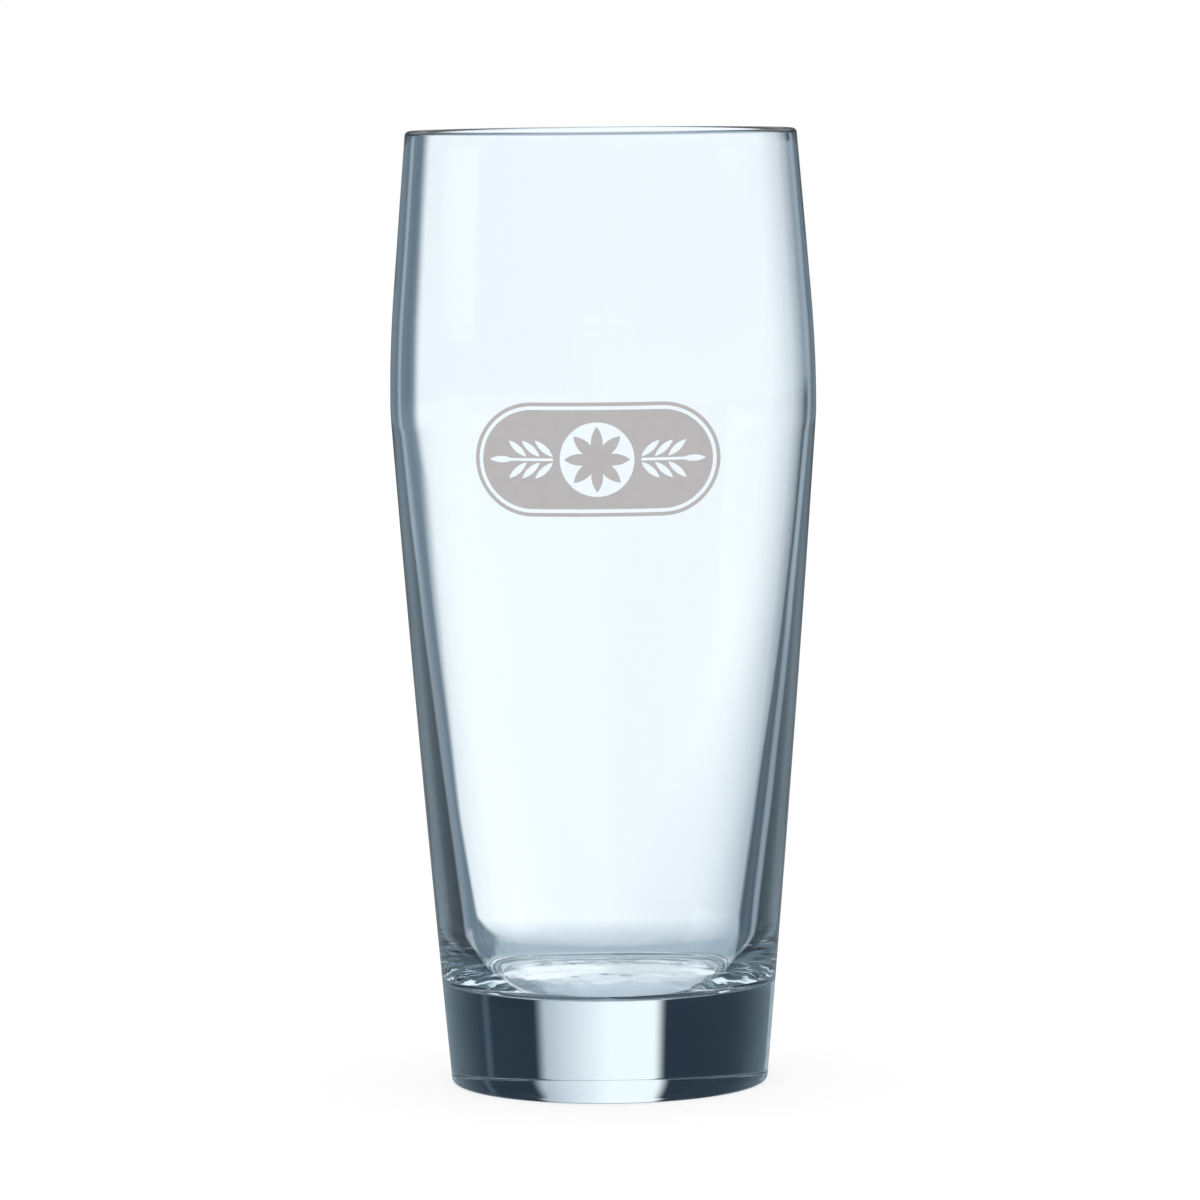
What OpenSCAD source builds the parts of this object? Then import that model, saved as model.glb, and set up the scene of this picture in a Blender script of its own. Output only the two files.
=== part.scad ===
// Beer glass that widens straight up to a belly and draws in to the lip, with a heavy solid base
// and a one-colour enamel print. Millimetres, +Z up. The origin is the middle of the ring that the
// glass stands on, and the print faces -Y. Every stretch of the wall is an arc that touches the next.

/* [Glass outside] */
// Height from the table to the top of the lip
glass_h = 158; // [135:1:200]
// Outside diameter at the lip
rim_d = 64.6; // [58:0.1:68]
// Outside diameter at the belly, the widest place
belly_d = 70.4; // [69:0.1:80]
// Height of the belly above the table
belly_z = 113; // [90:1:130]
// Outside diameter at the foot
foot_d = 52.6; // [46:0.1:60]
// Radius of the knee just under the belly
knee_r = 40; // [20:1:80]
// Radius of the shoulder just above the belly
shoulder_r = 220; // [80:5:280]
// Radius of the slight swell of the side between foot and knee
flank_r = 5800; // [2000:100:12000]
// Radius of the slight swell between shoulder and lip
neck_r = 6000; // [2000:100:12000]
// Radius of the rounded heel where the side turns under
heel_r = 0.9; // [0.5:0.1:3]

/* [Glass wall and base] */
// Wall at the lip, which is rounded over to a half circle
rim_wall = 1.6; // [1.2:0.1:2.4]
// Wall at the belly
belly_wall = 1.8; // [1.4:0.1:2.8]
// Wall just above the toe, where the inside turns in to the floor
floor_wall = 4.5; // [3:0.1:5.5]
// Radius of the slight swell of the inside between toe and knee
bore_r = 2500; // [1500:100:9000]
// Glass under the inside floor, down to the table
base_t = 16.5; // [10:0.5:24]
// Radius of the toe
toe_r = 25; // [12:1:35]
// How far the wall has turned in where the fillet takes over
toe_lean = 28; // [12:1:40]
// Radius of the fillet between the toe and the inside floor
floor_r = 2.4; // [1.6:0.1:8]
// Width of the flat ring that the glass stands on
ring_w = 2.5; // [2:0.5:8]
// Depth of the hollow in the underside
hollow_depth = 1.8; // [0.4:0.1:3]

/* [Print] */
// Thickness of the fired enamel
ink_t = 0.12; // [0.08:0.01:0.2]
// Width of the print, seen straight on
print_w = 39.4; // [34:0.2:46]
// Height of the print
print_h = 18.4; // [15:0.2:22]
// Height of the print's middle above the table
print_z = 105.7; // [98:0.1:114]
// Width of the keyline round the field
border_line = 0.6; // [0.4:0.05:1]
// Bare glass between the keyline and the field
border_gap = 0.6; // [0.4:0.05:1]
// Diameter of the bare disc in the middle of the field
disc_d = 12; // [9:0.2:13]
// Petals of the rosette in the disc
petals = 8; // [5:1:12]
// Width of a petal
petal_w = 1.9; // [1.2:0.1:2.4]
// Bare glass between the petals' tips and the edge of the disc
petal_gap = 0.7; // [0.4:0.1:1.2]
// Diameter of the rosette's heart
heart_d = 3.4; // [2.4:0.1:4.5]
// Pairs of grains along each ear
grain_pairs = 3; // [2:1:4]
// Length of a grain
grain_l = 3.9; // [2.5:0.1:5]
// Width of a grain
grain_w = 1.05; // [0.7:0.05:1.2]
// Angle between a grain and the stalk
grain_lean = 42; // [35:1:55]
// Width of the stalk
stalk_w = 0.45; // [0.3:0.05:0.6]
// Ink left between an ear and the edges of the field
ear_margin = 1.1; // [0.8:0.1:1.6]

/* [Hidden] */
// Steps in which a short round stretch and a long gentle one are drawn
round_steps = 12;
gentle_steps = 6;
// Circles are true arcs at this count
$fn = 96;
// How far a cut runs past what it cuts
overrun = 1;
// Share of its largest radius that the shoulder's fillet may take
shoulder_share = 0.9;

rim_r = rim_d / 2;
belly_r = belly_d / 2;
foot_r = foot_d / 2;
hollow_r = foot_r - heel_r - ring_w;
lip_r = rim_wall / 2;
// Sphere whose cap is the hollow in the underside
dome_r = (hollow_r * hollow_r + hollow_depth * hollow_depth) / (2 * hollow_depth);

// Middles of the round stretches of the outside, from the heel up
heel_c = [foot_r - heel_r, heel_r];
knee_c = [belly_r - knee_r, belly_z];
lip_c = [rim_r - lip_r, glass_h - lip_r];
// The shoulder's fillet keeps within the arc that would run from the belly right up to the lip
lip_in = belly_r - lip_c.x;
lip_up = lip_c.y - belly_z;
shoulder_most = (lip_in * lip_in + lip_up * lip_up - lip_r * lip_r) / (2 * (lip_in - lip_r));
shoulder_fit = min(shoulder_r, shoulder_share * shoulder_most);
shoulder_c = [belly_r - shoulder_fit, belly_z];

// Point at an angle on a circle
function on_circle(c, r, a) = c + r * [cos(a), sin(a)];

// Direction from one point to another
function heading(from, to) = atan2(to.y - from.y, to.x - from.x);

// Points along an arc, both ends included
function arc(c, r, a0, a1, steps) = [for (i = [0:steps]) on_circle(c, r, a0 + (a1 - a0) * i / steps)];

// Middle of the large circle of radius r that touches two smaller circles and bulges away from the axis.
// A circle with a negative radius is touched from outside.
function span_c(c1, r1, c2, r2, r) =
    let (d = c2 - c1,
         l = norm(d),
         reach1 = r - r1,
         reach2 = r - r2,
         along = (reach1 * reach1 - reach2 * reach2 + l * l) / (2 * l),
         across = sqrt(reach1 * reach1 - along * along))
    c1 + (along * d + across * [-d.y, d.x]) / l;

flank_c = span_c(heel_c, heel_r, knee_c, knee_r, flank_r);
neck_c = span_c(shoulder_c, shoulder_fit, lip_c, lip_r, neck_r);
flank_low = heading(flank_c, heel_c);
flank_top = heading(flank_c, knee_c);
neck_low = heading(neck_c, shoulder_c);
neck_top = heading(neck_c, lip_c);

// The outside from the heel to the lip, moved outwards by an even skin
function outside(skin) = concat(
    arc(heel_c, heel_r + skin, -90, flank_low, round_steps),
    arc(flank_c, flank_r + skin, flank_low, flank_top, gentle_steps),
    arc(knee_c, knee_r + skin, flank_top, 0, gentle_steps),
    arc(shoulder_c, shoulder_fit + skin, 0, neck_low, gentle_steps),
    arc(neck_c, neck_r + skin, neck_low, neck_top, gentle_steps));

// Outside radius at the height of the toe's middle, taken straight between heel and belly
toe_z = base_t + floor_r + (toe_r - floor_r) * sin(toe_lean);
toe_out_r = foot_r + (belly_r - foot_r) * (toe_z - heel_r) / (belly_z - heel_r);

// The same round stretches for the inside, which has its own walls
toe_c = [toe_out_r - floor_wall - toe_r, toe_z];
fillet_c = on_circle(toe_c, toe_r - floor_r, -toe_lean);
in_knee_r = knee_r - belly_wall;
in_shoulder_r = shoulder_fit - belly_wall;
bore_c = span_c(toe_c, toe_r, knee_c, in_knee_r, bore_r);
in_neck_c = span_c(shoulder_c, in_shoulder_r, lip_c, -lip_r, neck_r);
bore_low = heading(bore_c, toe_c);
bore_top = heading(bore_c, knee_c);
in_neck_low = heading(in_neck_c, shoulder_c);
in_neck_top = heading(in_neck_c, lip_c);

// The lip's half circle and the inside from the lip down to the middle of the floor
function inside() = concat(
    arc(lip_c, lip_r, neck_top, 180 + in_neck_top, round_steps),
    arc(in_neck_c, neck_r, in_neck_top, in_neck_low, gentle_steps),
    arc(shoulder_c, in_shoulder_r, in_neck_low, 0, gentle_steps),
    arc(knee_c, in_knee_r, 0, bore_top, gentle_steps),
    arc(bore_c, bore_r, bore_top, bore_low, gentle_steps),
    arc(toe_c, toe_r, bore_low, -toe_lean, gentle_steps),
    arc(fillet_c, floor_r, -toe_lean, -90, round_steps),
    [[0, base_t]]);

// The underside from the middle of its hollow to the ring that the glass stands on
function underside() =
    arc([0, hollow_depth - dome_r], dome_r, 90, acos(hollow_r / dome_r), gentle_steps);

// Points where two stretches meet are listed once
function once(points) =
    [for (i = [0:len(points) - 1]) if (i == 0 || norm(points[i] - points[i - 1]) > 0.0001) points[i]];

// The same points from last to first
function backwards(points) = [for (i = [len(points) - 1:-1:0]) points[i]];

// Sizes of the print that follow from its keyline and gap
field_w = print_w - 2 * (border_line + border_gap);
field_h = print_h - 2 * (border_line + border_gap);
petal_l = disc_d / 2 - petal_gap;
ear_start = disc_d / 2 + ear_margin;
ear_end = field_w / 2 - ear_margin;
// The last grain lies along the stalk, and the pairs share what is left
grain_pitch = (ear_end - ear_start - grain_l) / grain_pairs;

// A bar with round ends
module pill(w, h) {
    square([w - h, h], center = true);
    for (side = [-1, 1])
        translate([side * (w - h) / 2, 0])
            circle(d = h);
}

// A pointed oval along +X from the origin, where two circles cross
module grain(l, w) {
    r = (l * l + w * w) / (4 * w);
    intersection() {
        translate([l / 2, r - w / 2])
            circle(r = r);
        translate([l / 2, w / 2 - r])
            circle(r = r);
    }
}

// An ear of grain along +X
module ear() {
    translate([ear_start, -stalk_w / 2])
        square([ear_end - ear_start - grain_l / 2, stalk_w]);
    for (i = [0:grain_pairs - 1], side = [-1, 1])
        translate([ear_start + i * grain_pitch, side * stalk_w])
            rotate(side * grain_lean)
                grain(grain_l, grain_w);
    translate([ear_end - grain_l, 0])
        grain(grain_l, grain_w);
}

// Lays a flat drawing on the front of the glass as enamel of an even thickness
module fired_on() {
    intersection() {
        translate([0, 0, print_z])
            rotate([90, 0, 0])
                linear_extrude(belly_r + ink_t + overrun)
                    children();
        rotate_extrude()
            intersection() {
                polygon(once(concat(outside(ink_t), backwards(outside(0)))));
                translate([0, print_z - print_h / 2 - overrun])
                    square([belly_d, print_h + 2 * overrun]);
            }
    }
}

// The glass, one piece from foot to lip
module glass_body() {
    color([0.82, 0.9, 0.95, 0.5])
        rotate_extrude()
            polygon(once(concat(underside(), outside(0), inside())));
}

// Keyline round the print
module print_border() {
    color([0.73, 0.72, 0.72])
        fired_on()
            difference() {
                pill(print_w, print_h);
                pill(print_w - 2 * border_line, print_h - 2 * border_line);
            }
}

// Solid field with a bare disc and two bare ears of grain
module print_field() {
    color([0.73, 0.72, 0.72])
        fired_on()
            difference() {
                pill(field_w, field_h);
                circle(d = disc_d);
                for (turn = [0, 180])
                    rotate(turn)
                        ear();
            }
}

// Rosette in the bare disc
module print_rosette() {
    color([0.73, 0.72, 0.72])
        fired_on()
            union() {
                circle(d = heart_d);
                for (i = [0:petals - 1])
                    rotate(90 + i * 360 / petals)
                        grain(petal_l, petal_w);
            }
}

glass_body();
print_border();
print_field();
print_rosette();
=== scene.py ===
import math
from collections import namedtuple

import bpy
from mathutils import Matrix, Vector


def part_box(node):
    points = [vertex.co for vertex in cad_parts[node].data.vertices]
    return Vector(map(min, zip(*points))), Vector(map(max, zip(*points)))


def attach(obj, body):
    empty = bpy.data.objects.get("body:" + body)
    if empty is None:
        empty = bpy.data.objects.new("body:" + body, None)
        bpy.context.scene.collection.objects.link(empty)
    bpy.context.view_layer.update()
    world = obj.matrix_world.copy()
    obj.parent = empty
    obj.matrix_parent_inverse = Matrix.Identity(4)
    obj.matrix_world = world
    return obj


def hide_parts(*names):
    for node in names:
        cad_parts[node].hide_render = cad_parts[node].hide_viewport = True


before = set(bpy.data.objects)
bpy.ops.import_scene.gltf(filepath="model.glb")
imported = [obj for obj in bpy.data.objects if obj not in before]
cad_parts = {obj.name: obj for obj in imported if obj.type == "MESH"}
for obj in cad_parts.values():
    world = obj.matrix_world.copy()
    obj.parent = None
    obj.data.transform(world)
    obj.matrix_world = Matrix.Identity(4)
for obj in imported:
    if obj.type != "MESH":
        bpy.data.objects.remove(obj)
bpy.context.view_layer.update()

bl_info = {
    "name": "Printed Beer Glass",
    "version": (1, 0, 0),
    "blender": (4, 5, 0),
    "location": "View3D > Sidebar > Beer Glass",
    "description": "Turns the glass from its section, fires the enamel print on it and sets the studio",
    "category": "Add Mesh",
}

GLASS_NODE = "glass_body"
PRINT_NODES = ("print_border", "print_field", "print_rosette")
BODY = "root"
MM = 0.001
WHITE = (1.0, 1.0, 1.0)

# Steps in which each stretch of the half section is drawn
HOLLOW_STEPS = 20
HEEL_STEPS = 16
FLANK_STEPS = 40
KNEE_STEPS = 8
SHOULDER_STEPS = 12
NECK_STEPS = 12
LIP_STEPS = 24
BORE_STEPS = 70
TOE_STEPS = 20
FILLET_STEPS = 24
FLOOR_STEPS = 48
# Points that are closer than this, in metres, are one point of the section or of the turned glass
SECTION_WELD = 1e-7
GLASS_WELD = 1e-6
# Radius in metres of the wheel that the section is swept round
WHEEL = 0.1

# Numbers of a Mix node's sockets for colours, because its other sockets have the same names
MIX_FIRST = 6
MIX_SECOND = 7
MIX_RESULT = 2

# Middle of the noise, which runs from 0 to 1
NOISE_MIDDLE = 0.5
# How fine the noise of a finish is
SMOOTH_DETAIL = 1.0
FINE_DETAIL = 3.0
# Levels of the noise between which a finish changes
SCUFF_NOISE = (0.45, 0.6)
MOTTLE_NOISE = (0.35, 0.65)
SATIN_NOISE = (0.3, 0.7)

# Bright windows round the glass, in degrees: the way to the middle from straight behind the glass, the lowest
# and highest edge, and between which heights the light gives way to the table close behind the glass
Window = namedtuple("Window", "way lowest highest table")
WINDOWS = (
    Window(way=0, lowest=-89, highest=60, table=(-14, -22)),
    Window(way=-90, lowest=-12, highest=60, table=(-14, -45)),
    Window(way=-45, lowest=-50, highest=-17, table=(-30, -61)),
    Window(way=135, lowest=-50, highest=-9, table=(-20, -51)),
    Window(way=90, lowest=5, highest=60, table=(-14, -45)),
)
# Half the height, in degrees, over which those edges fade
WINDOW_SOFT = 1.5

# Heights, in degrees above the level, between which the world changes
WINDOW_WIDENS = (-6.8, -12)
WINDOW_NARROWS = (-12.5, -19)
WINDOW_SHORTENS = (-9.8, -11.4)
WINDOW_FADES_SOONER = (-7.5, -10.5)
LEFT_BOOST_RISES = (-6, -4)
TABLE_STARTS = (-50, -58)
CEILING_STARTS = (30, 40)
INNER_DIMS = (-5, -17)
INNER_STARTS = (4, 1)
LINE_MOVES_OUT = (-8, -17)
LINE_DIMS = (-10, -13)
ROOM_BRIGHTENS = (-3, -2)
BELOW_STARTS = (-58, -66)
FRONT_TABLE_STARTS = (-3, -8)
FRONT_CEILING_STARTS = (8, 20)

# Angles round the glass, in degrees, between which the world changes: from straight behind the glass
DUSK_BRIGHTENS = (34, 84)
HOLLOW_NARROWS = (60, 40)
ROOM_CHANGES = (-10, 10)
# From the middle of a window
BOOST_RISES = (2, 7)
LEFT_BOOST_STARTS = (-5.5, -9)
# From the middle of the streak and of the inner light
STREAK_RISES = (3, 0)
INNER_SPREADS = (0, 28)
# Sines of the angle from straight behind the glass between which the ceiling changes
CEILING_BRIGHTENS = (-0.5, 0.7)

# Faces of the glass that a sight line through the solid base crosses. One through both walls crosses four
BASE_FACES = 2

glass_low, glass_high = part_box(GLASS_NODE)


def linear(red, green, blue):
    """A colour written as 0 to 255 on screen, as the linear values that shaders take, by the sRGB curve."""
    def channel(value):
        level = value / 255
        return level / 12.92 if level <= 0.04045 else ((level + 0.055) / 1.055) ** 2.4
    return channel(red), channel(green), channel(blue)


def opaque(tone):
    """A colour with an alpha of 1."""
    return (*tone, 1.0)


def length(name, description, default):
    """A size in metres."""
    return bpy.props.FloatProperty(
        name=name, description=description, default=default, subtype="DISTANCE", unit="LENGTH", precision=5)


def angle(name, description, degrees):
    """An angle, written in degrees."""
    return bpy.props.FloatProperty(
        name=name, description=description, default=math.radians(degrees), subtype="ANGLE", unit="ROTATION")


def share(name, description, default, low=0.0, high=1.0):
    """A plain number without a unit."""
    return bpy.props.FloatProperty(
        name=name, description=description, default=default, min=low, max=high, precision=4)


def colour(name, description, default):
    """A linear colour."""
    return bpy.props.FloatVectorProperty(
        name=name, description=description, default=default, subtype="COLOR", size=3, min=0.0, max=1.0)


class GlassSizes(bpy.types.PropertyGroup):
    """Sizes of the glass. Those of its section are the solid's own."""

    height: length("Height", "From the table to the top of the lip", glass_high.z - glass_low.z)
    belly_diameter: length("Belly diameter", "Outside, at the widest place", glass_high.x - glass_low.x)
    belly_height: length("Belly height", "Height of the widest place", 113 * MM)
    rim_diameter: length("Rim diameter", "Outside, at the lip", 64.6 * MM)
    foot_diameter: length("Foot diameter", "Outside, at the heel", 52.6 * MM)
    knee_radius: length("Knee radius", "Bend just under the belly", 40 * MM)
    shoulder_radius: length("Shoulder radius", "Bend just above the belly", 220 * MM)
    flank_radius: length("Flank radius", "Slight swell between foot and knee", 5800 * MM)
    neck_radius: length("Neck radius", "Slight swell between shoulder and lip", 6000 * MM)
    heel_radius: length("Heel radius", "Where the side turns under", 0.9 * MM)
    rim_wall: length("Rim wall", "Wall at the lip, which is rounded over", 1.6 * MM)
    belly_wall: length("Belly wall", "Wall at the belly", 1.8 * MM)
    floor_wall: length("Floor wall", "Wall just above the toe", 4.5 * MM)
    bore_radius: length("Bore radius", "Slight swell of the inside between toe and knee", 2500 * MM)
    base_thickness: length("Base thickness", "Glass under the inside floor", 16.5 * MM)
    toe_radius: length("Toe radius", "Where the inside wall turns in above the fillet", 25 * MM)
    toe_lean: angle("Toe lean", "How far the wall has turned in where the fillet takes over", 28)
    fillet_radius: length("Fillet radius", "Between the toe and the inside floor", 2.4 * MM)
    ring_width: length("Ring width", "Flat ring that the glass stands on", 2.5 * MM)
    hollow_depth: length("Hollow depth", "Hollow of the underside", 1.8 * MM)
    sides: bpy.props.IntProperty(
        name="Sides", description="Faces round the glass", default=256, min=24, max=360)
    ripple_depth: length("Ripple depth", "How far the moulded floor waves in and out", 0.1 * MM)
    ripple_length: length("Ripple length", "From one wave of the floor to the next", 3.5 * MM)
    ripple_top: length("Ripple top", "Height at which the waves have died out", 24 * MM)


class GlassFinish(bpy.types.PropertyGroup):
    """Finish of the glass."""

    ior: share("Refraction", "Index of refraction of soda-lime glass", 1.52, 1.0, 2.0)
    tint: colour("Tint", "What is left of white light far inside the glass", (0.25, 0.72, 0.86))
    tint_density: share("Tint density", "How soon the tint shows, per metre", 1.6, 0.0, 100.0)
    wave_depth: length("Wave depth", "How far the surface waves in and out", 0.03 * MM)
    wave_across: length("Wave size across", "From one wave to the next on the way round", 14 * MM)
    wave_upwards: length("Wave size upwards", "From one wave to the next on the way up", 24 * MM)
    scuff_size: length("Scuff size", "From one scuff to the next", 0.4 * MM)
    scuff_height: length("Scuff height", "How far up the standing ring is worn", 0.25 * MM)
    scuff_roughness: share("Scuff roughness", "Roughness of the worn places", 0.3)


class PrintFinish(bpy.types.PropertyGroup):
    """Finish of the enamel print."""

    ink: colour("Ink", "Colour of the fired enamel", linear(187, 184, 184))
    ior: share("Refraction", "Index of refraction of the enamel", 1.5, 1.0, 2.0)
    mottle_share: share("Mottle", "Lightness of the darker patches, as a share of the ink's", 0.98)
    mottle_size: length("Mottle size", "From one patch to the next", 1.8 * MM)
    roughness_low: share("Roughness, low", "Where the enamel is smoothest", 0.38)
    roughness_high: share("Roughness, high", "Where the enamel is roughest", 0.55)
    grain_size: length("Grain size", "From one thread of the printing screen to the next", 0.12 * MM)
    grain_depth: length("Grain depth", "How far the screen's grain stands out", 0.006 * MM)
    grain_strength: share("Grain strength", "How much of the grain's depth shows", 0.6)


class Studio(bpy.types.PropertyGroup):
    """Camera and floor, and the room that the glass shows."""

    camera_distance: length("Camera distance", "From the axis of the glass, along the floor", 1.0979)
    camera_height: length("Camera height", "Above the table", 0.1733)
    camera_turn: angle("Camera turn", "Round the glass, towards its right", 1.8)
    camera_roll: angle("Camera roll", "Lean of the picture", -0.5615)
    lens: share("Lens", "Focal length in millimetres", 199.5, 10.0, 500.0)
    sensor: share("Sensor", "Width of the camera's sensor in millimetres", 36.0, 1.0, 100.0)
    shift_x: share("Shift across", "Share of the picture's width", -0.0044, -0.1, 0.1)
    shift_y: share("Shift up", "Share of the picture's width", 0.0060, -0.1, 0.1)
    nearest: length("Nearest", "Closest to the camera that it sees", 0.01)
    floor_reach: length("Floor reach", "From the axis of the glass to the sides of the floor", 3.0)
    floor_drop: length("Floor drop", "From the glass down to the floor, so that they don't meet", 0.05 * MM)
    floor_paint: colour("Floor paint", "Light that the floor gives back", (0.45, 0.45, 0.45))
    floor_glow: share("Floor glow", "Light that the floor adds, which keeps it nearly white", 0.6)
    window_left: angle("Window left", "From the middle of a bright window to its left end", 10.2)
    window_left_low: angle("Window left, low", "The same near the table, where the window is widest", 20)
    window_left_base: angle("Window left, base", "The same through the solid base", 12.2)
    window_right: angle("Window right", "From the middle of a window to its right end", 25)
    window_right_low: angle("Window right, low", "The same near the table", 19.5)
    window_right_base: angle("Window right, base", "The same through the solid base", 17.3)
    window_edge: angle("Window edge", "Half the width over which the ends fade", 1.9)
    window_even: angle("Window even", "How far to the right a window is evenly bright, high up", 5.7)
    window_fade: share("Window fade", "How far a window has turned to haze at its right end", 0.6)
    window_light: colour("Window light", "Light of a window", linear(240, 249, 255))
    window_strength: share("Window strength", "Makes up for what the glass mirrors away", 1.16, 0.0, 2.0)
    window_boost: share("Window boost", "The same towards the ends, where it mirrors more", 1.09, 0.0, 2.0)
    window_boost_left: share("Window boost, left", "The same once more at the upper left end", 1.12, 0.0, 2.0)
    window_base: share("Window, base", "Share of the window's light in the solid base", 0.97, 0.0, 2.0)
    hollow_narrow: share("Hollow narrow", "How much nearer the middle the hollow under the glass looks", 0.93)
    haze: colour("Haze", "Colour that a window fades to on its right", (0.045, 0.105, 0.175))
    table: colour("Table", "What the glass shows of the table close behind it", (0.35, 0.44, 0.52))
    dusk: colour("Dusk", "What the solid base shows beside the windows", (0.006, 0.017, 0.03))
    dusk_side: colour("Dusk, sideways", "The same far to the side", (0.08, 0.12, 0.155))
    streak_turn: angle("Streak turn", "Where the solid base shows a faint upright streak", 37)
    streak_share: share("Streak share", "How far the streak is like the dusk far to the side", 0.5)
    room_left: colour("Room, left", "What the walls show to the left of the windows", (0.13, 0.185, 0.235))
    room_right: colour("Room, right", "What the walls show to the right of the windows", (0.04, 0.065, 0.09))
    room_high: colour("Room, high", "The same above the belly of the glass", (0.32, 0.41, 0.48))
    ceiling: colour("Ceiling", "What the glass shows of the ceiling", (0.56, 0.61, 0.65))
    ceiling_lit: colour("Ceiling, lit", "The same where the ceiling is brightest", (0.9, 0.95, 1.0))
    inner: colour("Inner light", "Light that has been mirrored inside the wall", (0.25, 0.34, 0.41))
    inner_side: colour("Inner light, sideways", "The same towards the sides", (0.085, 0.125, 0.16))
    inner_low: share("Inner light, low", "Share of the same that is left close to the table", 0.3)
    inner_turn: angle("Inner light turn", "From straight behind the glass to the middle of this light", -2.5)
    inner_line: colour("Inner line", "Line of light along the inner side of the wall", (0.40, 0.50, 0.59))
    line_start: angle("Line start", "From the middle of the inner light to the line, high up", 23)
    line_start_low: angle("Line start, low", "The same near the table", 44.5)
    line_low: share("Line, low", "Share of the inner line's light that is left near the table", 0.7)
    line_edge: angle("Line edge", "Width over which the inner line comes and goes", 4)
    line_width: angle("Line width", "From the start of the inner line to its end", 6.5)
    front: colour("Front", "What the front of the glass mirrors", (0.13, 0.16, 0.19))
    front_low: colour("Front, low", "The same of the table in front of the glass", (0.27, 0.33, 0.37))
    front_high: colour("Front, high", "The same of the ceiling, which the lip mirrors", (0.7, 0.76, 0.8))
    below: colour("Below", "What the lip and the floor of the glass show straight below", (0.85, 0.9, 0.94))


def settings():
    """The sizes and finishes that the operators work from."""
    return bpy.context.scene.beer_glass


# Node trees

def add_node(tree, kind, options=None, inputs=None):
    """Adds a node, sets its options, and gives its inputs, by name or number, a value or a socket to read."""
    node = tree.nodes.new(kind)
    for name, value in (options or {}).items():
        setattr(node, name, value)
    for key, value in (inputs or {}).items():
        if isinstance(value, bpy.types.NodeSocket):
            tree.links.new(value, node.inputs[key])
        else:
            node.inputs[key].default_value = value
    return node


def figure(tree, operation, first, second=0.0):
    """The result of a calculation with one value or two."""
    node = add_node(tree, "ShaderNodeMath", {"operation": operation}, {0: first, 1: second})
    return node.outputs[0]


def opposite(tree, value):
    """What a value leaves of 1."""
    return figure(tree, "SUBTRACT", 1.0, value)


def ramp(tree, value, start, end, low=0.0, high=1.0, smooth=True):
    """A value that goes from low to high while the given one goes from start to end."""
    kind = "SMOOTHSTEP" if smooth else "LINEAR"
    node = add_node(tree, "ShaderNodeMapRange", {"interpolation_type": kind},
                    {"Value": value, "From Min": start, "From Max": end, "To Min": low, "To Max": high})
    return node.outputs["Result"]


def between(tree, factor, first, second):
    """A value between two others."""
    return ramp(tree, factor, 0.0, 1.0, first, second, smooth=False)


def blend(tree, factor, first, second):
    """A colour between two others, each of them a socket or a plain colour."""
    tones = [tone if isinstance(tone, bpy.types.NodeSocket) else opaque(tone) for tone in (first, second)]
    node = add_node(tree, "ShaderNodeMix", {"data_type": "RGBA"},
                    {"Factor": factor, MIX_FIRST: tones[0], MIX_SECOND: tones[1]})
    return node.outputs[MIX_RESULT]


def scaled(tree, vector, factor):
    """A colour or a vector times a value."""
    node = add_node(tree, "ShaderNodeVectorMath", {"operation": "SCALE"}, {0: vector, "Scale": factor})
    return node.outputs["Vector"]


def part_along_z(tree, vector):
    """The Z part of a vector."""
    return add_node(tree, "ShaderNodeSeparateXYZ", None, {"Vector": vector}).outputs["Z"]


def new_material(name):
    """An empty material and its node tree."""
    material = bpy.data.materials.new(name)
    material.use_nodes = True
    material.node_tree.nodes.clear()
    return material, material.node_tree


# Section of the glass

def on_circle(centre, radius, turn):
    """The point at an angle on a circle."""
    return centre + radius * Vector((math.cos(turn), math.sin(turn)))


def heading(start, end):
    """The direction from one point to another."""
    return math.atan2(end.y - start.y, end.x - start.x)


def arc(centre, radius, start, end, steps):
    """Points along an arc, both ends included."""
    return [on_circle(centre, radius, start + (end - start) * i / steps) for i in range(steps + 1)]


def spanning_centre(c1, r1, c2, r2, radius):
    """Middle of the large circle that touches two small ones and bulges away from the axis.
    A small circle with a negative radius is touched from outside."""
    apart = c2 - c1
    gap = apart.length
    reach1 = radius - r1
    reach2 = radius - r2
    along = (reach1 ** 2 - reach2 ** 2 + gap ** 2) / (2 * gap)
    across = math.sqrt(reach1 ** 2 - along ** 2)
    return c1 + (along * apart + across * Vector((-apart.y, apart.x))) / gap


def knee_centre(glass):
    """Middle of the bend just under the belly, outside and inside."""
    return Vector((glass.belly_diameter / 2 - glass.knee_radius, glass.belly_height))


def shoulder_centre(glass):
    """Middle of the bend just above the belly, outside and inside."""
    return Vector((glass.belly_diameter / 2 - glass.shoulder_radius, glass.belly_height))


def lip_centre(glass):
    """Middle of the half circle that rounds the lip over."""
    return Vector(((glass.rim_diameter - glass.rim_wall) / 2, glass.height - glass.rim_wall / 2))


def neck_centre(glass):
    """Middle of the swell between shoulder and lip on the outside."""
    shoulder = shoulder_centre(glass)
    lip = lip_centre(glass)
    return spanning_centre(shoulder, glass.shoulder_radius, lip, glass.rim_wall / 2, glass.neck_radius)


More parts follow.
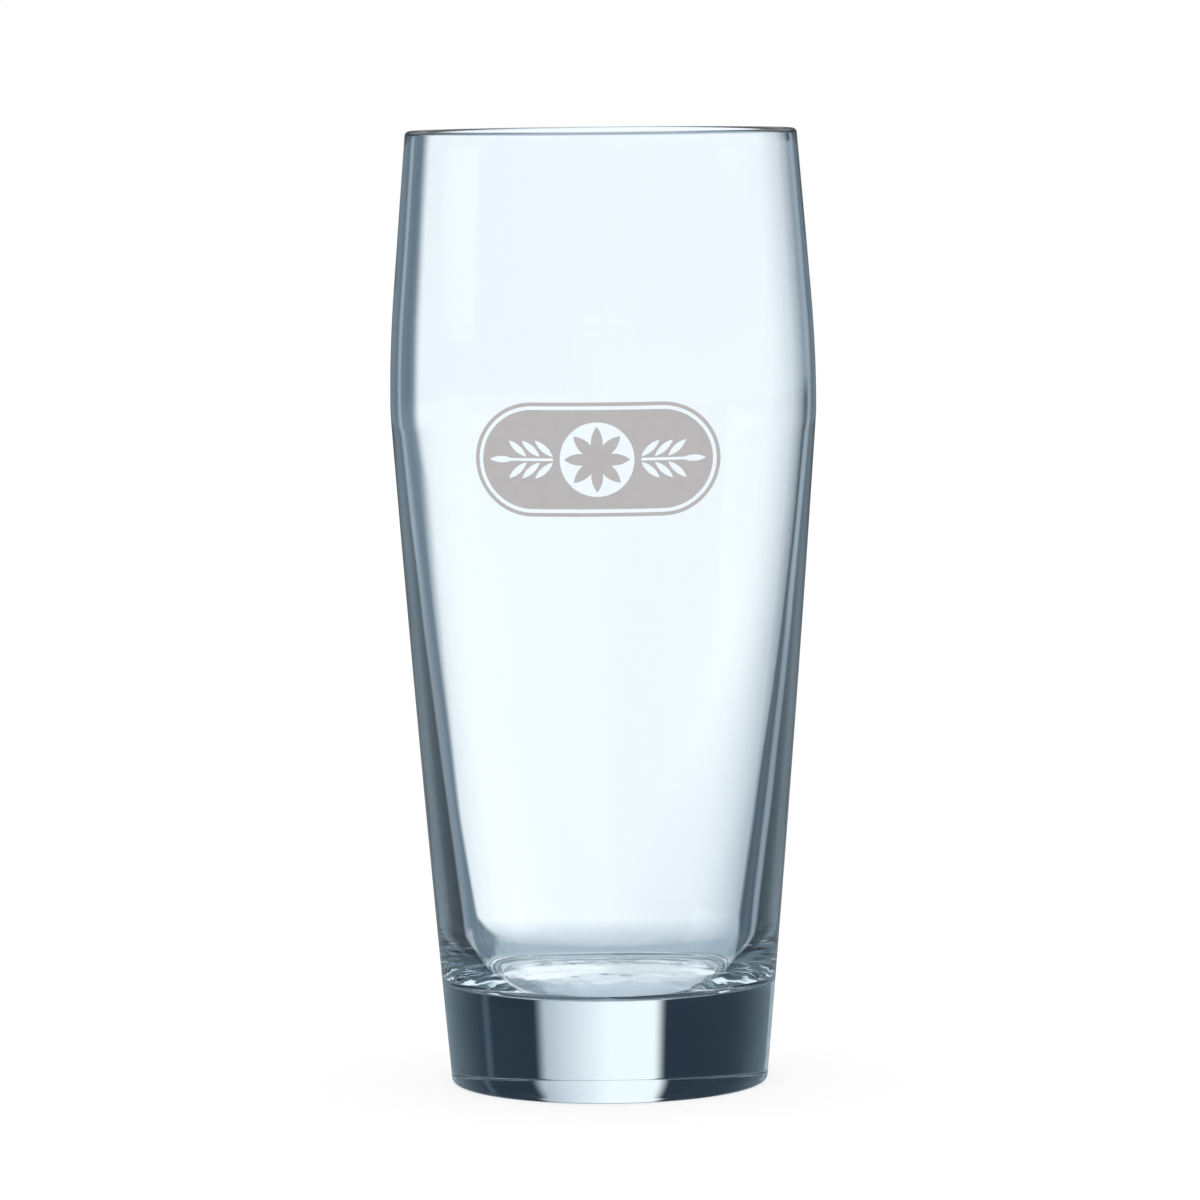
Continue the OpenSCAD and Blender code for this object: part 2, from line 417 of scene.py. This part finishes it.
def outside_points(glass):
    """The underside from its middle, the heel and the outside of the wall up to the lip."""
    foot = glass.foot_diameter / 2
    hollow = foot - glass.heel_radius - glass.ring_width
    dome_radius = (hollow ** 2 + glass.hollow_depth ** 2) / (2 * glass.hollow_depth)
    dome = Vector((0, glass.hollow_depth - dome_radius))
    heel = Vector((foot - glass.heel_radius, glass.heel_radius))
    knee = knee_centre(glass)
    shoulder = shoulder_centre(glass)
    flank = spanning_centre(heel, glass.heel_radius, knee, glass.knee_radius, glass.flank_radius)
    neck = neck_centre(glass)
    flank_low = heading(flank, heel)
    flank_top = heading(flank, knee)
    neck_low = heading(neck, shoulder)
    neck_top = heading(neck, lip_centre(glass))
    return (
        arc(dome, dome_radius, math.pi / 2, math.acos(hollow / dome_radius), HOLLOW_STEPS)
        + arc(heel, glass.heel_radius, -math.pi / 2, flank_low, HEEL_STEPS)
        + arc(flank, glass.flank_radius, flank_low, flank_top, FLANK_STEPS)
        + arc(knee, glass.knee_radius, flank_top, 0, KNEE_STEPS)
        + arc(shoulder, glass.shoulder_radius, 0, neck_low, SHOULDER_STEPS)
        + arc(neck, glass.neck_radius, neck_low, neck_top, NECK_STEPS))


def inside_points(glass):
    """The lip and the inside of the wall down to the middle of the floor."""
    foot = glass.foot_diameter / 2
    belly = glass.belly_diameter / 2
    apart = glass.toe_radius - glass.fillet_radius
    toe_height = glass.base_thickness + glass.fillet_radius + apart * math.sin(glass.toe_lean)
    rise = (toe_height - glass.heel_radius) / (glass.belly_height - glass.heel_radius)
    toe = Vector((foot + (belly - foot) * rise - glass.floor_wall - glass.toe_radius, toe_height))
    fillet = on_circle(toe, apart, -glass.toe_lean)
    knee = knee_centre(glass)
    shoulder = shoulder_centre(glass)
    lip = lip_centre(glass)
    lip_radius = glass.rim_wall / 2
    knee_radius = glass.knee_radius - glass.belly_wall
    shoulder_radius = glass.shoulder_radius - glass.belly_wall
    bore = spanning_centre(toe, glass.toe_radius, knee, knee_radius, glass.bore_radius)
    neck = spanning_centre(shoulder, shoulder_radius, lip, -lip_radius, glass.neck_radius)
    bore_low = heading(bore, toe)
    bore_top = heading(bore, knee)
    neck_low = heading(neck, shoulder)
    neck_top = heading(neck, lip)
    # The floor has rings of points all the way in, because it is waved later
    inwards = [1 - i / FLOOR_STEPS for i in range(1, FLOOR_STEPS + 1)]
    floor = [Vector((fillet.x * left, glass.base_thickness)) for left in inwards]
    return (
        arc(lip, lip_radius, heading(neck_centre(glass), lip), math.pi + neck_top, LIP_STEPS)
        + arc(neck, glass.neck_radius, neck_top, neck_low, NECK_STEPS)
        + arc(shoulder, shoulder_radius, neck_low, 0, SHOULDER_STEPS)
        + arc(knee, knee_radius, 0, bore_top, KNEE_STEPS)
        + arc(bore, glass.bore_radius, bore_top, bore_low, BORE_STEPS)
        + arc(toe, glass.toe_radius, bore_low, -glass.toe_lean, TOE_STEPS)
        + arc(fillet, glass.fillet_radius, -glass.toe_lean, -math.pi / 2, FILLET_STEPS)
        + floor)


def section_mesh(glass):
    """The half section as a line in the XY plane, with its height along Y. The attribute inside is 1 on the
    inside of the glass, and 0 on its outside."""
    points = []
    inside = []
    outside = outside_points(glass)
    for number, point in enumerate(outside + inside_points(glass)):
        if points and (point - points[-1]).length < SECTION_WELD:
            continue
        points.append(point)
        inside.append(float(number >= len(outside)))
    mesh = bpy.data.meshes.new("glass_section")
    edges = [(i, i + 1) for i in range(len(points) - 1)]
    mesh.from_pydata([(point.x, point.y, 0) for point in points], edges, [])
    mesh.attributes.new("inside", "FLOAT", "POINT").data.foreach_set("value", inside)
    return mesh


def turning_tree():
    """Geometry nodes that turn a half section about the Z axis and wave the moulded floor."""
    tree = bpy.data.node_groups.new("Turned Glass", "GeometryNodeTree")
    interface = tree.interface
    interface.new_socket("Section", in_out="INPUT", socket_type="NodeSocketGeometry")
    interface.new_socket("Sides", in_out="INPUT", socket_type="NodeSocketInt")
    for name in ("Ripple Depth", "Ripple Length", "Ripple Top", "Ripple Foot"):
        interface.new_socket(name, in_out="INPUT", socket_type="NodeSocketFloat")
    interface.new_socket("Glass", in_out="INPUT", socket_type="NodeSocketMaterial")
    interface.new_socket("Mesh", in_out="OUTPUT", socket_type="NodeSocketGeometry")
    given = add_node(tree, "NodeGroupInput").outputs

    # The section is swept round a wheel, and moved in by the wheel's radius so that it meets the axis
    wheel = add_node(tree, "GeometryNodeCurvePrimitiveCircle", None,
                     {"Resolution": given["Sides"], "Radius": WHEEL})
    line = add_node(tree, "GeometryNodeMeshToCurve", None, {"Mesh": given["Section"]})
    moved = add_node(tree, "GeometryNodeTransform", None, {
        "Geometry": line.outputs["Curve"], "Translation": (-WHEEL, 0, 0), "Rotation": (math.pi, 0, 0)})
    swept = add_node(tree, "GeometryNodeCurveToMesh", None,
                     {"Curve": wheel.outputs["Curve"], "Profile Curve": moved.outputs["Geometry"]})
    merged = add_node(tree, "GeometryNodeMergeByDistance", None,
                      {"Geometry": swept.outputs["Mesh"], "Distance": GLASS_WELD})
    closed = add_node(tree, "GeometryNodeFlipFaces", None, {"Mesh": merged.outputs["Geometry"]})

    # Waves: noise on the inside, strongest on the floor
    position = add_node(tree, "GeometryNodeInputPosition").outputs["Position"]
    place = scaled(tree, position, figure(tree, "DIVIDE", 1.0, given["Ripple Length"]))
    noise = add_node(tree, "ShaderNodeTexNoise", {"noise_dimensions": "3D"},
                     {"Vector": place, "Scale": 1.0, "Detail": 2.0, "Roughness": 0.5})
    wave = figure(tree, "SUBTRACT", noise.outputs["Fac"], NOISE_MIDDLE)
    fade = ramp(tree, part_along_z(tree, position), given["Ripple Top"], given["Ripple Foot"])
    inside = add_node(tree, "GeometryNodeInputNamedAttribute", {"data_type": "FLOAT"}, {"Name": "inside"})
    depth = figure(tree, "MULTIPLY", wave, given["Ripple Depth"])
    for mask in (fade, inside.outputs["Attribute"]):
        depth = figure(tree, "MULTIPLY", depth, mask)
    normal = add_node(tree, "GeometryNodeInputNormal").outputs["Normal"]
    waved = add_node(tree, "GeometryNodeSetPosition", None,
                     {"Geometry": closed.outputs["Mesh"], "Offset": scaled(tree, normal, depth)})

    smooth = add_node(tree, "GeometryNodeSetShadeSmooth", None, {"Geometry": waved.outputs["Geometry"]})
    real = add_node(tree, "GeometryNodeRealizeInstances", None, {"Geometry": smooth.outputs["Geometry"]})
    clad = add_node(tree, "GeometryNodeSetMaterial", None,
                    {"Geometry": real.outputs["Geometry"], "Material": given["Glass"]})
    add_node(tree, "NodeGroupOutput", None, {"Mesh": clad.outputs["Geometry"]})
    return tree


def apply_tree(piece, tree, values):
    """Runs a geometry node tree on a piece with the given inputs, and keeps the result as its plain mesh."""
    modifier = piece.modifiers.new(tree.name, "NODES")
    modifier.node_group = tree
    for socket in tree.interface.items_tree:
        if socket.in_out == "INPUT" and socket.name in values:
            modifier[socket.identifier] = values[socket.name]
    bpy.context.view_layer.update()
    evaluated = piece.evaluated_get(bpy.context.evaluated_depsgraph_get())
    mesh = bpy.data.meshes.new_from_object(evaluated)
    piece.modifiers.clear()
    piece.data = mesh
    mesh.name = piece.name
    if not mesh.polygons:
        raise RuntimeError(f"{tree.name} made no faces for {piece.name}")


# Finishes

def unevenness():
    """Shader group that puts out smooth noise, from 0 to 1, by the place on the object."""
    name = "Unevenness"
    tree = bpy.data.node_groups.get(name)
    if tree:
        return tree
    tree = bpy.data.node_groups.new(name, "ShaderNodeTree")
    stretch = tree.interface.new_socket("Stretch", in_out="INPUT", socket_type="NodeSocketVector")
    stretch.default_value = (1, 1, 1)
    tree.interface.new_socket("Detail", in_out="INPUT", socket_type="NodeSocketFloat")
    tree.interface.new_socket("Value", in_out="OUTPUT", socket_type="NodeSocketFloat")
    given = add_node(tree, "NodeGroupInput").outputs
    place = add_node(tree, "ShaderNodeTexCoord").outputs["Object"]
    spot = add_node(tree, "ShaderNodeVectorMath", {"operation": "MULTIPLY"}, {0: place, 1: given["Stretch"]})
    noise = add_node(tree, "ShaderNodeTexNoise", {"noise_dimensions": "3D"}, {
        "Vector": spot.outputs["Vector"], "Scale": 1.0, "Detail": given["Detail"], "Roughness": 0.5})
    add_node(tree, "NodeGroupOutput", None, {"Value": noise.outputs["Fac"]})
    return tree


def uneven(tree, across, upwards, detail):
    """Noise with patches of the given size across and upwards."""
    stretch = (1 / across, 1 / across, 1 / upwards)
    node = add_node(tree, "ShaderNodeGroup", {"node_tree": unevenness()},
                    {"Stretch": stretch, "Detail": detail})
    return node.outputs["Value"]


def glass_material(finish):
    """Clear soda-lime glass, slightly wavy, scuffed where it stands, with a faint tint where it is thick."""
    material, tree = new_material("clear_glass")
    waves = uneven(tree, finish.wave_across, finish.wave_upwards, SMOOTH_DETAIL)
    wavy = add_node(tree, "ShaderNodeBump", None, {
        "Strength": 1.0, "Distance": finish.wave_depth, "Height": waves})
    place = add_node(tree, "ShaderNodeTexCoord").outputs["Object"]
    worn = ramp(tree, part_along_z(tree, place), finish.scuff_height, 0.0)
    patches = uneven(tree, finish.scuff_size, finish.scuff_size, FINE_DETAIL)
    scuffs = ramp(tree, patches, *SCUFF_NOISE, 0.0, finish.scuff_roughness)
    body = add_node(tree, "ShaderNodeBsdfPrincipled", None, {
        "Base Color": opaque(WHITE), "Roughness": figure(tree, "MULTIPLY", worn, scuffs), "IOR": finish.ior,
        "Transmission Weight": 1.0, "Normal": wavy.outputs["Normal"]})
    depth = add_node(tree, "ShaderNodeVolumeAbsorption", None, {
        "Color": opaque(finish.tint), "Density": finish.tint_density})
    add_node(tree, "ShaderNodeOutputMaterial", None, {
        "Surface": body.outputs["BSDF"], "Volume": depth.outputs["Volume"]})
    return material


def enamel_material(finish):
    """Grey vitreous enamel, satin, a little mottled, with the fine grain of the printing screen."""
    material, tree = new_material("grey_enamel")
    mottle = uneven(tree, finish.mottle_size, finish.mottle_size, FINE_DETAIL)
    darker = tuple(channel * finish.mottle_share for channel in finish.ink)
    tone = blend(tree, ramp(tree, mottle, *MOTTLE_NOISE), darker, finish.ink)
    satin = ramp(tree, mottle, *SATIN_NOISE, finish.roughness_low, finish.roughness_high)
    grain = uneven(tree, finish.grain_size, finish.grain_size, SMOOTH_DETAIL)
    screen = add_node(tree, "ShaderNodeBump", None, {
        "Strength": finish.grain_strength, "Distance": finish.grain_depth, "Height": grain})
    body = add_node(tree, "ShaderNodeBsdfPrincipled", None, {
        "Base Color": tone, "Roughness": satin, "IOR": finish.ior, "Normal": screen.outputs["Normal"]})
    add_node(tree, "ShaderNodeOutputMaterial", None, {"Surface": body.outputs["BSDF"]})
    return material


# Room that the glass shows

def tilt(degrees):
    """The height of a unit vector at an angle above the level, which is how the world tells up from down."""
    return math.sin(math.radians(degrees))


def by_height(tree, height, span, low=0.0, high=1.0, smooth=True):
    """A value that goes from low to high between two heights in degrees."""
    start, end = span
    return ramp(tree, height, tilt(start), tilt(end), low, high, smooth)


def by_turn(tree, turn, span, low=0.0, high=1.0, smooth=True):
    """A value that goes from low to high between two angles round the glass in degrees."""
    start, end = span
    return ramp(tree, turn, math.radians(start), math.radians(end), low, high, smooth)


def more_than(tree, count, number):
    """1 where a sight line's count, which is whole, is over a whole number, and 0 elsewhere."""
    half_step = 0.5
    return figure(tree, "GREATER_THAN", count, number + half_step)


def window_pane(tree, turn, height, solid, studio):
    """How much a window covers, and its light, by the angle from its middle and the height."""
    low = by_height(tree, height, WINDOW_WIDENS, smooth=False)
    foot = by_height(tree, height, WINDOW_NARROWS, smooth=False)
    wide = figure(tree, "SUBTRACT", low, foot)
    left_end = between(tree, wide, studio.window_left, studio.window_left_low)
    left_end = between(tree, solid, left_end, studio.window_left_base)
    left_edge = figure(tree, "DIVIDE", figure(tree, "ADD", turn, left_end), studio.window_edge)
    right_end = by_height(tree, height, WINDOW_SHORTENS, studio.window_right, studio.window_right_low)
    right_end = between(tree, solid, right_end, studio.window_right_base)
    right_edge = figure(tree, "DIVIDE", figure(tree, "SUBTRACT", right_end, turn), studio.window_edge)
    cover = figure(tree, "MULTIPLY", ramp(tree, left_edge, -1.0, 1.0), ramp(tree, right_edge, -1.0, 1.0))

    even_end = by_height(tree, height, WINDOW_FADES_SOONER, studio.window_even, 0.0)
    even_end = between(tree, solid, even_end, 0.0)
    fade = ramp(tree, turn, even_end, right_end, 0.0, studio.window_fade, smooth=False)
    light = blend(tree, fade, studio.window_light, studio.haze)

    outer = by_turn(tree, figure(tree, "ABSOLUTE", turn), BOOST_RISES, 1.0, studio.window_boost)
    high = by_height(tree, height, LEFT_BOOST_RISES, 1.0, studio.window_boost_left)
    far_left = by_turn(tree, turn, LEFT_BOOST_STARTS, 1.0, high)
    boost = figure(tree, "MULTIPLY", outer, far_left)
    return cover, scaled(tree, light, between(tree, solid, boost, studio.window_base))


def outlook(tree, turn, height, solid, table, walls, studio):
    """A dim room with bright windows, as the glass shows it. The table counts only as far as it is given."""
    aside = by_turn(tree, figure(tree, "ABSOLUTE", turn), DUSK_BRIGHTENS)
    off_streak = figure(tree, "ABSOLUTE", figure(tree, "SUBTRACT", turn, studio.streak_turn))
    streak = by_turn(tree, off_streak, STREAK_RISES, 0.0, studio.streak_share)
    dusk = blend(tree, figure(tree, "MAXIMUM", aside, streak), studio.dusk, studio.dusk_side)
    room = blend(tree, solid, walls, dusk)
    for window in WINDOWS:
        off_middle = figure(tree, "SUBTRACT", turn, math.radians(window.way))
        wrapped = add_node(tree, "ShaderNodeMath", {"operation": "WRAP"},
                           {0: off_middle, 1: math.pi, 2: -math.pi})
        cover, light = window_pane(tree, wrapped.outputs[0], height, solid, studio)
        above = by_height(tree, height, (window.lowest - WINDOW_SOFT, window.lowest + WINDOW_SOFT))
        below = by_height(tree, height, (window.highest + WINDOW_SOFT, window.highest - WINDOW_SOFT))
        cover = figure(tree, "MULTIPLY", cover, figure(tree, "MULTIPLY", above, below))
        near = by_height(tree, height, window.table, 0.0, table, smooth=False)
        room = blend(tree, cover, room, blend(tree, near, light, studio.table))
    room = blend(tree, by_height(tree, height, TABLE_STARTS, 0.0, table), room, studio.table)
    lit = ramp(tree, figure(tree, "SINE", turn), *CEILING_BRIGHTENS)
    ceiling = blend(tree, lit, studio.ceiling, studio.ceiling_lit)
    room = blend(tree, by_height(tree, height, CEILING_STARTS, 0.0, opposite(tree, solid)), room, ceiling)
    return scaled(tree, room, studio.window_strength)


def inner_light(tree, turn, height, walls, studio):
    """Dim light that is mirrored inside the wall, with a bright line before it gives way to the room."""
    aside = figure(tree, "ABSOLUTE", figure(tree, "SUBTRACT", turn, studio.inner_turn))
    side = scaled(tree, studio.inner_side, by_height(tree, height, INNER_DIMS, 1.0, studio.inner_low))
    light = blend(tree, by_turn(tree, aside, INNER_SPREADS, smooth=False), studio.inner, side)
    start = by_height(tree, height, LINE_MOVES_OUT, studio.line_start, studio.line_start_low, smooth=False)
    past_start = figure(tree, "SUBTRACT", aside, start)
    line = scaled(tree, studio.inner_line, by_height(tree, height, LINE_DIMS, 1.0, studio.line_low))
    light = blend(tree, ramp(tree, past_start, 0.0, studio.line_edge), light, line)
    past_end = figure(tree, "SUBTRACT", past_start, studio.line_width)
    return blend(tree, ramp(tree, past_end, 0.0, studio.line_edge), light, walls)


def through_glass(tree, paths, turn, height, studio):
    """What sight lines through the glass end on."""
    hollow = more_than(tree, paths["Transmission Depth"], BASE_FACES)
    solid = opposite(tree, hollow)
    mirrored = more_than(tree, paths["Glossy Depth"], 0)
    right = blend(tree, by_height(tree, height, ROOM_BRIGHTENS), studio.room_right, studio.room_high)
    walls = blend(tree, by_turn(tree, turn, ROOM_CHANGES), studio.room_left, right)
    # Through the solid base the table is seen only mirrored, or from high above
    table = figure(tree, "MAXIMUM", mirrored, hollow)
    table = figure(tree, "MAXIMUM", table, by_height(tree, height, TABLE_STARTS))
    # The hollow of the underside mirrors the window behind the glass wider than it is
    ahead = by_turn(tree, figure(tree, "ABSOLUTE", turn), HOLLOW_NARROWS)
    narrowed = between(tree, figure(tree, "MULTIPLY", mirrored, ahead), 1.0, studio.hollow_narrow)
    seen_turn = figure(tree, "MULTIPLY", turn, narrowed)
    around = outlook(tree, seen_turn, height, solid, table, walls, studio)
    seen_straight = figure(tree, "SUBTRACT", table, mirrored)
    around = blend(tree, by_height(tree, height, BELOW_STARTS, 0.0, seen_straight), around, studio.below)
    within = figure(tree, "MULTIPLY", mirrored, by_height(tree, height, INNER_STARTS))
    return blend(tree, within, around, inner_light(tree, turn, height, walls, studio))


def front_light(tree, height, studio):
    """What the outside of the glass mirrors."""
    light = blend(tree, by_height(tree, height, FRONT_TABLE_STARTS), studio.front, studio.front_low)
    return blend(tree, by_height(tree, height, FRONT_CEILING_STARTS), light, studio.front_high)


def light_world(studio):
    """White for the camera, plain light for the object, and a dim room with bright windows in the glass."""
    world = bpy.data.worlds.new("studio")
    world.use_nodes = True
    tree = world.node_tree
    tree.nodes.clear()
    paths = add_node(tree, "ShaderNodeLightPath").outputs
    way = add_node(tree, "ShaderNodeTexCoord").outputs["Generated"]
    parts = add_node(tree, "ShaderNodeSeparateXYZ", None, {"Vector": way}).outputs
    height = parts["Z"]
    turn = figure(tree, "ADD", figure(tree, "ARCTAN2", parts["X"], parts["Y"]), studio.camera_turn)

    # Whatever the print and the floor are lit by is plain, also through the glass
    direct = opposite(tree, more_than(tree, paths["Diffuse Depth"], 0))
    glossy = figure(tree, "MULTIPLY", paths["Is Glossy Ray"], direct)
    plain = blend(tree, glossy, WHITE, front_light(tree, height, studio))
    bent = figure(tree, "MULTIPLY", paths["Is Transmission Ray"], direct)
    shown = blend(tree, bent, plain, through_glass(tree, paths, turn, height, studio))
    light = add_node(tree, "ShaderNodeBackground", None, {"Color": shown, "Strength": 1.0})
    add_node(tree, "ShaderNodeOutputWorld", None, {"Surface": light.outputs["Background"]})
    bpy.context.scene.world = world


# Stage

def floor_material(studio):
    """Pale floor that keeps the shadow, and that the glass doesn't show."""
    material, tree = new_material("pale_floor")
    paths = add_node(tree, "ShaderNodeLightPath").outputs
    paint = add_node(tree, "ShaderNodeBsdfDiffuse", None, {"Color": opaque(studio.floor_paint)})
    glow = add_node(tree, "ShaderNodeEmission", None, {"Color": opaque(WHITE), "Strength": studio.floor_glow})
    pale = add_node(tree, "ShaderNodeAddShader", None,
                    {0: paint.outputs["BSDF"], 1: glow.outputs["Emission"]})
    clear = add_node(tree, "ShaderNodeBsdfTransparent")
    seen = figure(tree, "MAXIMUM", paths["Is Transmission Ray"], paths["Is Glossy Ray"])
    mixed = add_node(tree, "ShaderNodeMixShader", None,
                     {0: seen, 1: pale.outputs["Shader"], 2: clear.outputs["BSDF"]})
    add_node(tree, "ShaderNodeOutputMaterial", None, {"Surface": mixed.outputs["Shader"]})
    return material


def lay_floor(studio):
    """A wide flat sheet just under the glass."""
    reach = studio.floor_reach
    corners = ((-reach, -reach), (reach, -reach), (reach, reach), (-reach, reach))
    mesh = bpy.data.meshes.new("floor")
    mesh.from_pydata([(x, y, -studio.floor_drop) for x, y in corners], [], [tuple(range(len(corners)))])
    mesh.materials.append(floor_material(studio))
    sheet = bpy.data.objects.new("floor", mesh)
    bpy.context.collection.objects.link(sheet)


def set_camera(studio, height):
    """The photograph's camera, aimed at the middle of the glass."""
    camera_data = bpy.data.cameras.new("camera")
    camera_data.lens = studio.lens
    camera_data.sensor_width = studio.sensor
    camera_data.shift_x = studio.shift_x
    camera_data.shift_y = studio.shift_y
    camera_data.clip_start = studio.nearest
    camera = bpy.data.objects.new("camera", camera_data)
    bpy.context.collection.objects.link(camera)
    place = Vector((
        studio.camera_distance * math.sin(studio.camera_turn),
        -studio.camera_distance * math.cos(studio.camera_turn),
        studio.camera_height))
    aim = Vector((0, 0, height / 2)) - place
    turned = aim.to_track_quat("-Z", "Y").to_matrix().to_4x4()
    camera.matrix_world = Matrix.Translation(place) @ turned @ Matrix.Rotation(studio.camera_roll, 4, "Z")
    bpy.context.scene.camera = camera


class BEERGLASS_OT_turn_glass(bpy.types.Operator):
    """Turns the glass from its half section"""

    bl_idname = "beer_glass.turn_glass"
    bl_label = "Turn Glass"

    def execute(self, context):
        sizes = settings().sizes
        piece = bpy.data.objects.new("glass", section_mesh(sizes))
        context.collection.objects.link(piece)
        apply_tree(piece, turning_tree(), {
            "Sides": sizes.sides,
            "Ripple Depth": sizes.ripple_depth,
            "Ripple Length": sizes.ripple_length,
            "Ripple Top": sizes.ripple_top,
            "Ripple Foot": sizes.base_thickness + sizes.fillet_radius,
            "Glass": glass_material(settings().glass),
        })
        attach(piece, BODY)
        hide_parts(GLASS_NODE)
        return {"FINISHED"}


class BEERGLASS_OT_fire_print(bpy.types.Operator):
    """Gives the print its enamel"""

    bl_idname = "beer_glass.fire_print"
    bl_label = "Fire Print"

    def execute(self, context):
        enamel = enamel_material(settings().print)
        for name in PRINT_NODES:
            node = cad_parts[name]
            node.data.materials.clear()
            node.data.materials.append(enamel)
        return {"FINISHED"}


class BEERGLASS_OT_set_studio(bpy.types.Operator):
    """Sets the camera, the light and the floor"""

    bl_idname = "beer_glass.set_studio"
    bl_label = "Set Studio"

    def execute(self, context):
        studio = settings().studio
        set_camera(studio, settings().sizes.height)
        light_world(studio)
        lay_floor(studio)
        scene = context.scene
        scene.view_settings.view_transform = "Standard"
        scene.cycles.max_bounces = 32
        scene.cycles.glossy_bounces = 16
        scene.cycles.transmission_bounces = 28
        return {"FINISHED"}


class BeerGlass(bpy.types.PropertyGroup):
    """All that a user can change."""

    sizes: bpy.props.PointerProperty(type=GlassSizes)
    glass: bpy.props.PointerProperty(type=GlassFinish)
    print: bpy.props.PointerProperty(type=PrintFinish)
    studio: bpy.props.PointerProperty(type=Studio)


class BEERGLASS_PT_sidebar(bpy.types.Panel):
    """Lists the steps and the sizes"""

    bl_label = "Beer Glass"
    bl_idname = "BEERGLASS_PT_sidebar"
    bl_space_type = "VIEW_3D"
    bl_region_type = "UI"
    bl_category = "Beer Glass"

    def draw(self, context):
        for step in STEPS:
            self.layout.operator(step.bl_idname)
        chosen = context.scene.beer_glass
        for group in (chosen.sizes, chosen.glass, chosen.print, chosen.studio):
            box = self.layout.box()
            for name in group.__annotations__:
                box.prop(group, name)


STEPS = (BEERGLASS_OT_turn_glass, BEERGLASS_OT_fire_print, BEERGLASS_OT_set_studio)
CLASSES = (GlassSizes, GlassFinish, PrintFinish, Studio, BeerGlass, *STEPS, BEERGLASS_PT_sidebar)


def register():
    """Makes the steps, the panel and the settings known."""
    for cls in CLASSES:
        bpy.utils.register_class(cls)
    bpy.types.Scene.beer_glass = bpy.props.PointerProperty(type=BeerGlass)


def unregister():
    """Takes back what register does."""
    del bpy.types.Scene.beer_glass
    for cls in reversed(CLASSES):
        bpy.utils.unregister_class(cls)


def main():
    """Runs the steps in order."""
    register()
    bpy.ops.beer_glass.turn_glass()
    bpy.ops.beer_glass.fire_print()
    bpy.ops.beer_glass.set_studio()


if __name__ == "__main__":
    main()
